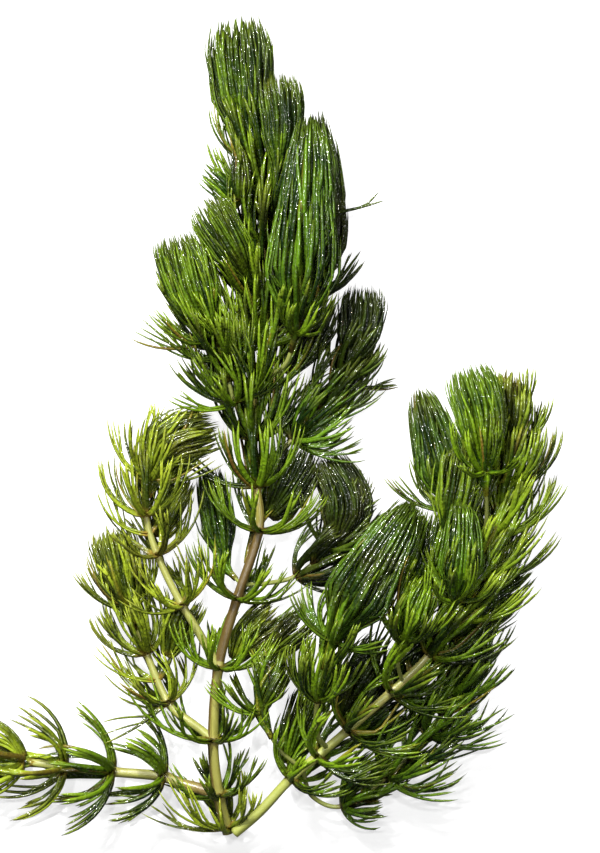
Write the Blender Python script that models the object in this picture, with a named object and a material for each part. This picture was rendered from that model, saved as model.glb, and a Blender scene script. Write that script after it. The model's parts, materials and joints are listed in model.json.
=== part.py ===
"""Hornwort: a cut bunch of forked, round water-plant stems, laid on its side.

The stems lie roughly along +Y, with the cut feet at -Y and the growing tips at +Y.
+Z is up, and the underside of the lowest leaves is the plane z = 0, which the bunch rests on.
Every size below is in millimetres and is turned into metres where a mesh is written.
Lengthwise and sideways, the paths are given from the middle of the main stem; CENTRE moves
the whole bunch so that the origin is under the middle of its extent.
"""

import math
import random

import bmesh
import bpy
import numpy as np

MM = 0.001
SEED = 7
STEP = 0.5              # spacing of the samples along a path
CENTRE = (-0.136, -0.720)   # middle of the bunch's extent, seen from above

# Clearances
GAP = 0.3               # between a stem and the collar of a whorl, and at a fork
LEAF_GAP = 0.25         # between a leaf and anything that it passes
FORK_RISE = 3.4         # a side shoot leaves its parent this far above the node

# Leaves
LEAF_WIDTH = 2.1        # at the fork
LEAF_THICK = 0.8
FORK_AT = 0.42          # share of the leaf's length where it forks in two
ARM_SPREAD = 0.14       # each arm's sideways reach, as a share of the leaf's length
COLLAR_WALL = 0.55
COLLAR_HEIGHT = 1.7
HALF_COLLAR = round(COLLAR_HEIGHT / 2 / STEP)   # in samples
MAIN_LEAVES = 7
SIDE_LEAVES = 6

# Leaf angles from the stem at the root and at the tip, in degrees
OPEN = (86.0, 34.0)
RISING = (70.0, 14.0)
CUPPED = (54.0, 2.0)

# Growing tips
LOCKS = 6               # ridges round a tip, each ending in a point of its own
RIDGE = 0.10            # height of a ridge, in tip radii
# Half-width of a tip along its axis, in tip radii: a pair of shares for each station, of which
# the last is where the locks' points are
BUD = ((0.0, 0.34), (0.28, 0.96), (0.68, 0.88), (1.0, 0.52))
BRUSH = ((0.0, 0.30), (0.34, 0.92), (0.76, 1.0), (1.0, 0.78))
FLAME = ((0.0, 0.26), (0.26, 1.0), (0.52, 0.80), (0.80, 0.56), (1.0, 0.16))

STEM_SIDES = 6

# Shoots: the node of the parent that each one leaves, the radius at its foot and at its end,
# the path of its stem, then the radius, form and axis of its growing tip.
# A path point with a leaf length and a habit carries a whorl; the last pair, where there is one,
# lengthens the leaves that point along (+X, +Y) by that share and shortens the opposite ones.
SHOOTS = {
    "main": {
        "parent": None,
        "radii": (1.45, 0.7),
        "stem": [
            (-6.8, -101.9, 6.5),
            (-9.2, -92.1, 9.0, 15.0, OPEN),
            (-10.5, -78.1, 12.0, 22.0, OPEN, (-0.25, 0.0)),
            (-9.2, -59.9, 14.0, 18.0, OPEN),
            (-4.5, -42.6, 15.0, 19.0, OPEN),
            (1.0, -25.6, 15.5, 20.0, OPEN),
            (0.4, -14.5, 15.5, 21.0, RISING),
            (-0.4, -2.6, 15.5, 23.0, RISING),
            (0.8, 9.0, 15.0, 24.0, RISING),
            (1.8, 20.5, 15.0, 24.0, RISING),
            (1.4, 32.0, 14.5, 23.0, RISING),
            (2.4, 45.5, 14.5, 22.0, RISING),
            (2.6, 57.0, 14.0, 22.0, RISING),
            (0.2, 66.4, 13.5, 20.0, CUPPED),
        ],
        "tip": (7.4, BRUSH, [(-1.6, 72.0, 13.0), (-3.2, 86.0, 12.0), (-4.4, 103.0, 11.0)]),
    },
    "trailing": {
        "parent": ("main", 1),
        "radii": (1.45, 0.95),
        "stem": [
            (-16.5, -90.4, 7.6),
            (-23.2, -87.6, 7.0, 18.0, OPEN),
            (-36.0, -86.4, 6.6, 20.0, OPEN),
            (-48.0, -85.1, 6.4, 20.0, OPEN),
            (-58.5, -83.9, 6.2, 19.0, RISING),
        ],
        "tip": (4.8, BUD, [(-63.0, -83.2, 6.0), (-71.0, -81.6, 5.7), (-80.0, -78.6, 5.6)]),
    },
    "lower_left": {
        "parent": ("main", 2),
        "radii": (1.05, 0.7),
        "stem": [
            (-15.4, -74.8, 11.2),
            (-21.8, -68.9, 10.0, 18.0, OPEN),
            (-27.3, -56.4, 9.4, 19.0, RISING),
            (-31.3, -45.0, 9.0, 18.0, RISING),
        ],
        "tip": (5.2, BRUSH, [(-32.4, -41.5, 8.8), (-34.4, -34.0, 8.2), (-36.4, -25.0, 7.6)]),
    },
    "upper_left": {
        "parent": ("main", 3),
        "radii": (1.0, 0.6),
        "stem": [
            (-12.2, -52.6, 15.4),
            (-18.2, -44.1, 16.4, 18.0, OPEN),
            (-24.3, -31.6, 17.0, 20.0, OPEN),
            (-27.2, -21.6, 17.2, 20.0, RISING),
            (-26.4, -13.0, 17.4, 19.0, RISING),
        ],
        "tip": (6.0, BRUSH, [(-25.2, -9.6, 17.4), (-20.0, -3.0, 17.0), (-10.4, -0.4, 16.6)]),
    },
    "right": {
        "parent": None,
        "radii": (1.3, 0.7),
        "stem": [
            (-5.2, -101.6, 9.9),
            (1.2, -96.0, 11.6),
            (9.0, -87.6, 13.0, 16.0, OPEN),
            (15.6, -82.0, 14.2, 20.0, OPEN),
            (23.2, -75.4, 15.4, 21.0, OPEN),
            (34.0, -65.8, 16.6, 22.0, OPEN),
            (43.5, -56.4, 17.0, 21.0, RISING, (0.12, 0.0)),
            (50.2, -47.0, 17.0, 21.5, RISING, (0.12, 0.0)),
            (55.6, -37.0, 16.8, 22.0, RISING, (0.1, 0.0)),
            (59.6, -26.4, 16.4, 22.0, RISING, (0.1, 0.0)),
            (61.8, -15.4, 16.0, 21.0, RISING, (0.1, 0.0)),
            (62.8, -5.0, 15.4, 18.0, RISING),
        ],
        "tip": (3.0, BUD, [(63.0, -1.8, 15.2), (63.4, 6.0, 14.8), (63.8, 14.2, 14.4)]),
    },
    "left_head": {
        "parent": ("main", 7),
        "radii": (0.85, 0.6),
        "stem": [
            (-5.0, 6.4, 19.5, 19.0, OPEN),
            (-7.6, 17.4, 21.0, 21.0, OPEN),
            (-10.4, 22.4, 21.4, 21.0, OPEN),
        ],
        "tip": (7.0, BRUSH, [(-11.8, 25.6, 21.6), (-15.6, 35.0, 21.8), (-19.6, 48.6, 21.0)]),
    },
    "left_shoulder": {
        "parent": ("main", 10),
        "radii": (0.7, 0.6),
        "stem": [(-1.0, 36.6, 20.0)],
        "tip": (5.2, BRUSH, [(-2.0, 38.6, 21.6), (-7.2, 47.4, 24.8), (-12.8, 57.0, 25.8)]),
    },
    "front_flame": {
        "parent": ("main", 8),
        "radii": (0.8, 0.65),
        "stem": [
            (7.4, 15.6, 24.0),
            (10.2, 23.8, 28.0, 15.5, OPEN),
        ],
        "tip": (8.6, FLAME, [(10.6, 26.6, 29.0), (12.4, 46.0, 31.0), (13.6, 77.2, 30.0)]),
    },
    "back_flame": {
        "parent": ("main", 9),
        "radii": (0.75, 0.6),
        "stem": [
            (10.0, 26.0, 11.5),
            (14.8, 33.4, 9.6, 17.0, RISING),
        ],
        "tip": (5.6, FLAME, [(15.8, 37.2, 9.0), (17.6, 55.0, 8.4), (15.4, 79.4, 8.4)]),
    },
    "right_back": {
        "parent": ("main", 6),
        "radii": (0.8, 0.6),
        "stem": [
            (9.4, -2.8, 10.8, 20.0, OPEN),
            (16.6, 4.8, 9.4, 19.0, RISING),
            (21.6, 12.4, 8.8, 18.0, RISING, (-0.2, 0.0)),
        ],
        "tip": (4.9, BRUSH, [(24.0, 17.0, 8.7), (26.4, 26.0, 8.6), (27.2, 35.8, 8.4)]),
    },
    "drooping": {
        "parent": ("main", 4),
        "radii": (0.8, 0.6),
        "stem": [
            (3.0, -38.8, 11.5),
            (10.2, -37.0, 9.4, 19.0, RISING),
            (18.2, -30.6, 8.6, 18.0, RISING),
        ],
        "tip": (5.6, BUD, [(20.4, -27.6, 8.6), (22.8, -18.0, 8.6), (17.2, -6.6, 8.6)]),
    },
    "left_back": {
        "parent": ("main", 4),
        "radii": (0.6, 0.5),
        "stem": [(-7.6, -34.6, 9.4)],
        "tip": (3.6, BUD, [(-8.2, -31.4, 8.0), (-10.0, -21.6, 6.6), (-12.2, -9.6, 6.2)]),
    },
    "lower_right": {
        "parent": ("right", 2),
        "radii": (0.8, 0.6),
        "stem": [
            (14.4, -92.6, 6.8),
            (22.0, -95.2, 5.0, 14.5, OPEN, (0.1, 0.25)),
            (33.0, -87.8, 6.4, 20.0, OPEN, (0.1, 0.0)),
            (43.2, -77.0, 6.8, 20.0, OPEN, (0.1, 0.0)),
            (49.4, -67.2, 6.8, 18.0, RISING, (0.1, 0.0)),
        ],
        "tip": (4.6, BRUSH, [(51.0, -63.8, 6.6), (53.4, -57.6, 6.2), (55.4, -50.4, 6.0)]),
    },
    "middle_left": {
        "parent": ("right", 2),
        "radii": (0.65, 0.5),
        "stem": [
            (5.6, -79.6, 16.4),
            (1.6, -71.2, 17.0, 17.0, RISING),
        ],
        "tip": (3.4, BUD, [(1.8, -68.4, 17.0), (4.0, -63.6, 17.2), (7.6, -57.8, 17.2)]),
    },
    "glossy": {
        "parent": ("right", 3),
        "radii": (0.9, 0.65),
        "stem": [
            (15.6, -76.2, 20.4),
            (15.6, -67.2, 25.4, 18.0, RISING),
            (19.6, -52.6, 28.4, 19.0, RISING),
        ],
        "tip": (8.0, FLAME, [(21.2, -49.2, 28.8), (29.6, -34.4, 30.4), (39.6, -18.0, 29.4)]),
    },
    "cup": {
        "parent": ("right", 5),
        "radii": (0.7, 0.55),
        "stem": [
            (35.6, -58.2, 23.0),
            (36.6, -52.4, 27.0, 18.0, RISING),
        ],
        "tip": (3.6, BUD, [(37.2, -49.6, 28.0), (39.2, -43.2, 29.2), (42.0, -36.8, 29.6)]),
    },
    "striped": {
        "parent": ("right", 6),
        "radii": (0.7, 0.55),
        "stem": [
            (48.4, -48.6, 23.0),
            (49.8, -42.8, 27.0, 17.0, RISING),
        ],
        "tip": (5.0, FLAME, [(50.2, -39.6, 28.6), (51.2, -29.0, 30.6), (51.0, -17.6, 30.0)]),
    },
    "upper_right": {
        "parent": ("right", 7),
        "radii": (0.8, 0.6),
        "stem": [
            (50.0, -28.4, 14.0),
            (48.6, -20.4, 13.4, 19.0, RISING),
        ],
        "tip": (6.4, FLAME, [(48.0, -16.8, 13.2), (45.4, -3.6, 13.0), (41.2, 10.4, 12.6)]),
    },
    "rounded": {
        "parent": ("right", 8),
        "radii": (0.8, 0.6),
        "stem": [
            (57.6, -20.2, 22.8),
            (56.8, -10.8, 25.4, 17.0, RISING),
        ],
        "tip": (6.0, BRUSH, [(56.6, -8.0, 25.2), (56.4, 3.0, 25.4), (52.8, 15.8, 24.6)]),
    },
    "tier": {
        "parent": ("main", 11),
        "radii": (0.7, 0.55),
        "stem": [(5.2, 62.4, 17.6)],
        "tip": (4.6, BRUSH, [(6.0, 65.0, 18.4), (7.4, 76.0, 18.6), (6.2, 88.8, 17.6)]),
    },
    "low_fan": {
        "parent": ("right", 4),
        "radii": (0.7, 0.55),
        "stem": [
            (29.2, -71.4, 10.0),
            (34.0, -66.6, 9.0, 18.0, OPEN),
        ],
        "tip": (3.8, BUD, [(36.4, -64.6, 8.4), (41.2, -58.0, 7.6), (44.4, -48.6, 7.4)]),
    },
}

# Shoots whose stem, whorls and growing tip are nodes of their own; each other shoot is one piece.
AXES = ("main", "right", "trailing", "lower_left", "upper_left")

STEM_GREEN = (0.36, 0.38, 0.09, 1.0)
STEM_BROWN = (0.20, 0.13, 0.05, 1.0)
LEAF_GREEN = (0.06, 0.17, 0.02, 1.0)
YOUNG_GREEN = (0.13, 0.27, 0.03, 1.0)
DARK_GREEN = (0.02, 0.07, 0.01, 1.0)
WET = 0.28
MATT = 0.5


# Paths


def unit(v):
    return v / np.linalg.norm(v)


def smooth_path(points):
    """Curve through the points, as closely spaced samples, with each point's sample number."""
    p = np.array(points, float)
    p = np.vstack([2 * p[0] - p[1], p, 2 * p[-1] - p[-2]])
    samples, marks = [], [0]
    for a, b, c, d in zip(p[:-3], p[1:-2], p[2:-1], p[3:]):
        count = max(3, int(np.linalg.norm(c - b) / STEP))
        t = (np.arange(count) / count)[:, None]
        samples.append(0.5 * (2 * b + (c - a) * t + (2 * a - 5 * b + 4 * c - d) * t**2
                              + (3 * b - a - 3 * c + d) * t**3))
        marks.append(marks[-1] + count)
    samples.append(p[-2][None])
    return np.vstack(samples), marks


def tangents(samples):
    t = np.gradient(samples, axis=0)
    return t / np.linalg.norm(t, axis=1)[:, None]


def cross_axes(tangent):
    """Two directions across a stem: one level, one as near to +Z as it goes."""
    side = unit(np.cross(tangent, (0.0, 0.0, 1.0)))
    return side, np.cross(side, tangent)


def spoke(tangent, angle):
    side, up = cross_axes(tangent)
    return math.cos(angle) * side + math.sin(angle) * up


def ring_places(centre, tangent, radius, angles):
    return np.array([centre + r * spoke(tangent, a)
                     for a, r in zip(angles, np.broadcast_to(radius, len(angles)))])


def between(start, end, count):
    return start + (end - start) * np.linspace(0, 1, count)[:, None]


# Plan of the bunch


class Crowd:
    """The balls that fill every piece placed so far, so that new leaves can pass them."""

    def __init__(self):
        self.places = np.zeros((0, 3))
        self.radii = np.zeros(0)

    def add(self, places, radii):
        self.places = np.vstack([self.places, places])
        self.radii = np.concatenate([self.radii, np.broadcast_to(radii, len(places))])

    def passes(self, places, radii, gap):
        low, high = places.min(axis=0) - 9.0, places.max(axis=0) + 9.0
        near = np.all((self.places > low) & (self.places < high), axis=1)
        if not near.any():
            return True
        apart = np.linalg.norm(places[:, None] - self.places[near][None], axis=2)
        return bool(np.all(apart > self.radii[near][None] + radii[:, None] + gap))


def half_width(form, share):
    """Of a tip at a share of its length, in tip radii."""
    shares, widths = zip(*form)
    return np.interp(share, shares, widths)


def plan_shoot(name, plans):
    """Samples of a shoot's axis from its foot to the end of its tip, and its whorls."""
    spec = SHOOTS[name]
    points = [p[:3] for p in spec["stem"]]
    first = 0
    if spec["parent"]:
        parent = plans[spec["parent"][0]]
        fork = parent["marks"][spec["parent"][1]] + round(FORK_RISE / STEP)
        points.insert(0, tuple(parent["axis"][fork]))
        first = 1
    radius, form, tip_points = spec["tip"]
    axis, marks = smooth_path(points + tip_points)
    foot = 0
    if spec["parent"]:
        foot = clear_of_parent(axis, spec["radii"][0], parent)
    end = marks[len(points)]
    share = np.clip((np.arange(end + 1) - foot) / (end - foot), 0, 1)
    thick = spec["radii"][0] + (spec["radii"][1] - spec["radii"][0]) * share
    marks = marks[first:] if first else marks
    whorls = []
    for number, point in enumerate(spec["stem"]):
        if len(point) > 3:
            whorls.append({"sample": marks[number], "length": point[3], "habit": point[4],
                           "lean": point[5] if len(point) > 5 else (0.0, 0.0)})
    return {"name": name, "axis": axis, "ways": tangents(axis), "marks": marks, "foot": foot,
            "end": end, "count": len(spec["stem"]), "thick": thick, "tip_radius": radius,
            "form": form, "whorls": whorls}


def clear_of_parent(axis, radius, parent):
    """First sample of a side shoot at which its whole end clears the parent's stem."""
    ways = tangents(axis)
    stem = parent["axis"][: parent["end"] + 1]
    reach = parent["thick"] + GAP + 0.05
    angles = np.arange(STEM_SIDES) * math.tau / STEM_SIDES
    for sample in range(1, len(axis) - 1):
        rim = ring_places(axis[sample], ways[sample], radius, angles)
        apart = np.linalg.norm(rim[:, None] - stem[None], axis=2)
        if np.all(apart > reach[None]):
            return sample
    return 1


def press(places, low):
    """Bend what would pass the resting plane so that it lies along it."""
    ease = 1.2
    rise = places[:, 2] - low
    eased = (rise + ease) ** 2 / (4 * ease)
    places = places.copy()
    places[:, 2] = low + np.where(rise <= -ease, 0.0, np.where(rise >= ease, rise, eased))
    return places


def leaf_course(root, tangent, angle, length, habit, steps=24):
    """Centreline of a leaf that leaves the stem outwards and bends up along it."""
    out = spoke(tangent, angle)
    s = (np.arange(steps) + 0.5) / steps
    lean = np.radians(habit[0] + (habit[1] - habit[0]) * s**0.8)
    stride = length / steps * (np.cos(lean)[:, None] * tangent + np.sin(lean)[:, None] * out)
    course = np.vstack([root, root + np.cumsum(stride, axis=0)])
    return course, np.cross(out, tangent)


def leaf_parts(course, across, length):
    """The stalk as far as the fork, and the two arms."""
    steps = len(course) - 1
    fork = round(FORK_AT * steps)
    s = (np.arange(fork, steps + 1) - fork) / (steps - fork)
    part = (ARM_SPREAD * length * s**0.9)[:, None] * across
    low = LEAF_THICK / 2
    return press(course[: fork + 1], low), press(course[fork:] - part, low), press(
        course[fork:] + part, low)


TRIES = [(turn, lift, short) for short in (1.0, 0.86, 0.7) for lift in (0, 10, 22, 36, 50)
         for turn in (0, 8, -8, 16, -16, 24, -24)]


def arm_corners(arm):
    """An arm's fork, its bend where it comes down to the resting plane, and its end."""
    down = np.flatnonzero(arm[:, 2] < LEAF_THICK / 2 + 1e-6)
    if len(down) > 2 and down[0] > 0:
        return [arm[0], arm[down[0]], arm[-1]]
    return [arm[0], arm[-1]]


def leaf_body(stalk, arms):
    """Balls that fill a leaf, but for its root, with their radii."""
    places = [between(stalk[0], stalk[-1], 10)[2:]]
    radii = [np.full(8, LEAF_WIDTH / 2)]
    for arm in arms:
        corners = arm_corners(arm)
        for start, end in zip(corners, corners[1:]):
            places.append(between(start, end, 12))
        radii.append(np.linspace(LEAF_WIDTH / 3, 0.25, 12 * (len(corners) - 1)))
    return np.vstack(places), np.concatenate(radii)


def plan_leaf(plan, whorl, angle, crowd, own):
    """A leaf that passes everything placed before it, or None where there is no room."""
    sample, hub = whorl["sample"], whorl["hub"]
    centre, tangent = plan["axis"][sample], plan["ways"][sample]
    for turn, lift, short in TRIES:
        way = angle + math.radians(turn)
        out = spoke(tangent, way)
        bias = 1 + whorl["lean"][0] * out[0] + whorl["lean"][1] * out[1]
        length = whorl["length"] * short * bias
        habit = (min(whorl["habit"][0] + lift * 0.5, 100), whorl["habit"][1] + lift)
        course, across = leaf_course(centre + hub * spoke(tangent, angle), tangent, way, length,
                                     habit)
        stalk, *arms = leaf_parts(course, across, length)
        body, radii = leaf_body(stalk, arms)
        if not crowd.passes(body, radii, LEAF_GAP):
            continue
        free = np.linalg.norm(body - centre, axis=1) > hub + 4.5
        if own.passes(body[free], radii[free], LEAF_GAP):
            own.add(body, radii)
            return {"stalk": stalk, "arms": arms, "across": across}
    return None


def plan_bunch():
    """Axes, whorls and leaves of the whole bunch, each leaf clear of what is already there."""
    rng = random.Random(SEED)
    plans = {}
    for name in SHOOTS:
        plans[name] = plan_shoot(name, plans)
    crowd = Crowd()
    for plan in plans.values():
        foot, end, axis = plan["foot"], plan["end"], plan["axis"]
        crowd.add(axis[foot:end], plan["thick"][foot:end])
        share = np.linspace(0, 1, len(axis) - end)
        crowd.add(axis[end:], plan["tip_radius"] * (half_width(plan["form"], share) + RIDGE))
        collar = GAP + 0.1 + COLLAR_WALL if plan["name"] in AXES else 0.0
        for whorl in plan["whorls"]:
            sample = whorl["sample"]
            whorl["hub"] = plan["thick"][sample] + collar
            crowd.add(axis[sample][None], whorl["hub"])
    for name, plan in plans.items():
        for number, whorl in enumerate(plan["whorls"]):
            count = MAIN_LEAVES if name in AXES else SIDE_LEAVES
            whorl["phase"] = rng.uniform(-0.15, 0.15) + (number % 2) * math.pi / count
            own = Crowd()
            whorl["leaves"] = [plan_leaf(plan, whorl, whorl["phase"] + k * math.tau / count,
                                         crowd, own) for k in range(count)]
            crowd.add(own.places, own.radii)
    return plans


# Meshes


def new_verts(bm, places):
    return [bm.verts.new(((x - CENTRE[0]) * MM, (y - CENTRE[1]) * MM, z * MM))
            for x, y, z in places]


def above_rest(places):
    return [np.array((x, y, max(z, 0.0))) for x, y, z in places]


def stitch(bm, lower, upper):
    """Faces between two rings; the upper one has as many points, or twice as many."""
    n = len(lower)
    twice = len(upper) == 2 * n
    for i in range(n):
        a, b = lower[i], lower[(i + 1) % n]
        if not twice:
            bm.faces.new((a, b, upper[(i + 1) % n], upper[i]))
            continue
        before, at, after = upper[2 * i - 1], upper[2 * i], upper[(2 * i + 1) % (2 * n)]
        bm.faces.new((a, at, before))
        bm.faces.new((a, after, at))
        bm.faces.new((a, b, after))


def grow_leaf(bm, root, leaf):
    """Forked leaf on the four root points (lower pair, then upper pair)."""
    if leaf is None:
        bm.faces.new(root)
        return
    fork = leaf["stalk"][-1]
    way = unit(leaf["stalk"][-1] - leaf["stalk"][-3])
    lies = fork[2] < LEAF_THICK / 2 + 1e-6 and abs(way[2]) < 0.05
    if lies:
        way = unit(way * (1.0, 1.0, 0.0))
        across = np.cross(way, (0.0, 0.0, 1.0))
    else:
        across = unit(leaf["across"] - way * np.dot(leaf["across"], way))
    half = across * LEAF_WIDTH / 2
    thick = np.cross(way, across) * LEAF_THICK / 2
    low, right, high, left = fork_ring = new_verts(
        bm, above_rest([fork + thick, fork + half, fork - thick, fork - half]))
    for i in range(4):
        here, after = root[i], root[(i + 1) % 4]
        bm.faces.new((here, after, fork_ring[i]))
        bm.faces.new((after, fork_ring[(i + 1) % 4], fork_ring[i]))
    grow_arm(bm, (left, low, high), leaf["arms"][0])
    grow_arm(bm, (low, right, high), leaf["arms"][1])


def grow_arm(bm, corners, arm):
    """Pointed arm of a leaf; one that reaches the resting plane lies on it with a flat face."""
    *bends, end = arm_corners(arm)[1:]
    if bends:
        end = end * (1.0, 1.0, 0.0)
        bend = bends[0] * (1.0, 1.0, 0.0)
        half = np.cross(unit(end - bend), (0.0, 0.0, 1.0)) * LEAF_WIDTH / 4
        lying = new_verts(bm, [bend - half, bend + half, bend + (0.0, 0.0, LEAF_THICK)])
        stitch(bm, corners, lying)
        corners = lying
    tip = new_verts(bm, [end])[0]
    for i in range(3):
        bm.faces.new((corners[i], corners[(i + 1) % 3], tip))


def grow_tip(bm, plan, base_ring=None):
    """Ridged growing tip; every ridge ends in a pointed lock of young leaves."""
    axis, ways, end = plan["axis"], plan["ways"], plan["end"]
    count = len(axis) - 1 - end
    angles = [i * math.pi / LOCKS for i in range(2 * LOCKS)]
    ridged = np.array([1 + RIDGE if i % 2 == 0 else 1 - RIDGE for i in range(2 * LOCKS)])
    ring = base_ring
    *stations, (_, lock_end) = plan["form"]
    for number, (share, size) in enumerate(stations):
        sample = end + round(share * count)
        shape = 1.0 if number == 0 else ridged
        places = ring_places(axis[sample], ways[sample], plan["tip_radius"] * size * shape, angles)
        new = new_verts(bm, places)
        if ring is None:
            bm.faces.new(new[::-1])
        else:
            stitch(bm, ring, new)
        ring = new
    last = end + round(stations[-1][0] * count)
    centre = new_verts(bm, [axis[last + 2]])[0]
    for i in range(0, 2 * LOCKS, 2):
        reach = (0.93, 1.0, 0.9)[(i // 2) % 3]
        sample = min(len(axis) - 1, last + round(reach * (len(axis) - 1 - last)))
        point = axis[sample] + plan["tip_radius"] * lock_end * spoke(ways[sample], angles[i])
        tip = new_verts(bm, [point])[0]
        before, ridge, after = ring[i - 1], ring[i], ring[i + 1]
        bm.faces.new((before, ridge, tip))
        bm.faces.new((ridge, after, tip))
        bm.faces.new((after, centre, tip))
        bm.faces.new((centre, before, tip))


def stem_rings(plan):
    """Samples that take a ring: the foot, both sides of each whorl, halfway, and the end."""
    stops = [plan["foot"]]
    for whorl in plan["whorls"]:
        stops.append((stops[-1] + whorl["sample"]) // 2)
        stops += [whorl["sample"] - HALF_COLLAR, whorl["sample"] + HALF_COLLAR]
    return stops + [plan["end"] - 1]


def finish(bm, name, material):
    bmesh.ops.recalc_face_normals(bm, faces=bm.faces)
    if bm.calc_volume(signed=True) < 0:
        bmesh.ops.reverse_faces(bm, faces=bm.faces)
    mesh = bpy.data.meshes.new(name)
    bm.to_mesh(mesh)
    bm.free()
    mesh.shade_smooth()
    mesh.set_sharp_from_angle(angle=math.radians(50))
    mesh.materials.append(material)
    node = bpy.data.objects.new(name, mesh)
    bpy.context.scene.collection.objects.link(node)
    return node


def build_stem(plan, material):
    """Plain tapered stem of an axis."""
    bm = bmesh.new()
    stops = [plan["foot"]] + plan["marks"][:plan["count"]] + [plan["end"] - 1]
    stops = sorted({s for s in stops if plan["foot"] <= s < plan["end"]})
    angles = np.arange(STEM_SIDES) * math.tau / STEM_SIDES
    rings = [new_verts(bm, ring_places(plan["axis"][s], plan["ways"][s], plan["thick"][s], angles))
             for s in stops]
    bm.faces.new(rings[0][::-1])
    for lower, upper in zip(rings, rings[1:]):
        stitch(bm, lower, upper)
    bm.faces.new(rings[-1])
    finish(bm, "stem_" + plan["name"], material)


def build_whorl(plan, number, whorl, material):
    """Collar round the stem with its ring of forked leaves, all one piece."""
    bm = bmesh.new()
    count = len(whorl["leaves"])
    sample = whorl["sample"]
    centre, way = plan["axis"][sample], plan["ways"][sample]
    angles = whorl["phase"] + (np.arange(count) - 0.5) * math.tau / count
    inner = (plan["thick"][sample] + GAP) / math.cos(math.pi / count)
    outer = inner + COLLAR_WALL
    half = way * COLLAR_HEIGHT / 2
    rings = [new_verts(bm, ring_places(centre + shift, way, radius, angles))
             for shift, radius in ((-half, inner), (-half, outer), (half, outer), (half, inner))]
    for lower, upper in ((rings[0], rings[1]), (rings[2], rings[3]), (rings[3], rings[0])):
        stitch(bm, lower, upper)
    for k, leaf in enumerate(whorl["leaves"]):
        j = (k + 1) % count
        grow_leaf(bm, (rings[1][k], rings[1][j], rings[2][j], rings[2][k]), leaf)
    finish(bm, f"whorl_{plan['name']}_{number + 1:02d}", material)


def build_tip(plan, material):
    bm = bmesh.new()
    grow_tip(bm, plan)
    finish(bm, "tip_" + plan["name"], material)


def build_side_shoot(plan, material):
    """Thin stem, its whorls and its growing tip in one piece."""
    bm = bmesh.new()
    spokes = np.arange(SIDE_LEAVES) * math.tau / SIDE_LEAVES
    phase_at = {w["sample"] + d: w["phase"] for w in plan["whorls"]
                for d in (-HALF_COLLAR, HALF_COLLAR)}
    leaves_at = {w["sample"] - HALF_COLLAR: w["leaves"] for w in plan["whorls"]}
    stops = stem_rings(plan)
    turn = plan["whorls"][0]["phase"] if plan["whorls"] else 0.0
    rings = []
    for stop in stops:
        turn = phase_at.get(stop, turn)
        angles = spokes if stop == stops[-1] else spokes + turn - math.pi / SIDE_LEAVES
        rings.append(new_verts(bm, ring_places(plan["axis"][stop], plan["ways"][stop],
                                               plan["thick"][stop], angles)))
    bm.faces.new(rings[0][::-1])
    for stop, lower, upper in zip(stops, rings, rings[1:]):
        if stop not in leaves_at:
            stitch(bm, lower, upper)
            continue
        for k, leaf in enumerate(leaves_at[stop]):
            j = (k + 1) % SIDE_LEAVES
            grow_leaf(bm, (lower[k], lower[j], upper[j], upper[k]), leaf)
    grow_tip(bm, plan, rings[-1])
    finish(bm, "shoot_" + plan["name"], material)


# Materials


def plain_material(name, colour, roughness):
    material = bpy.data.materials.new(name)
    material.use_nodes = True
    shader = material.node_tree.nodes["Principled BSDF"]
    shader.inputs["Base Color"].default_value = colour
    shader.inputs["Roughness"].default_value = roughness
    shader.inputs["Metallic"].default_value = 0.0
    return material


def main():
    for item in list(bpy.data.objects):
        bpy.data.objects.remove(item, do_unlink=True)
    stem_green = plain_material("stem_green", STEM_GREEN, MATT)
    stem_brown = plain_material("stem_brown", STEM_BROWN, MATT)
    leaf_green = plain_material("leaf_green", LEAF_GREEN, WET)
    young_green = plain_material("young_green", YOUNG_GREEN, WET)
    dark_green = plain_material("dark_green", DARK_GREEN, WET)
    plans = plan_bunch()
    for name, plan in plans.items():
        if name in AXES:
            build_stem(plan, stem_brown if name == "main" else stem_green)
            for number, whorl in enumerate(plan["whorls"]):
                build_whorl(plan, number, whorl, leaf_green)
            build_tip(plan, young_green)
        else:
            dark = name in ("back_flame", "right_back", "left_back", "lower_right")
            build_side_shoot(plan, dark_green if dark else leaf_green)


main()
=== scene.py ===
"""Looks of the hornwort bunch: fine forked leaves, brush-like tips, wet gloss and a pale studio."""

import json
import math
import random

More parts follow.
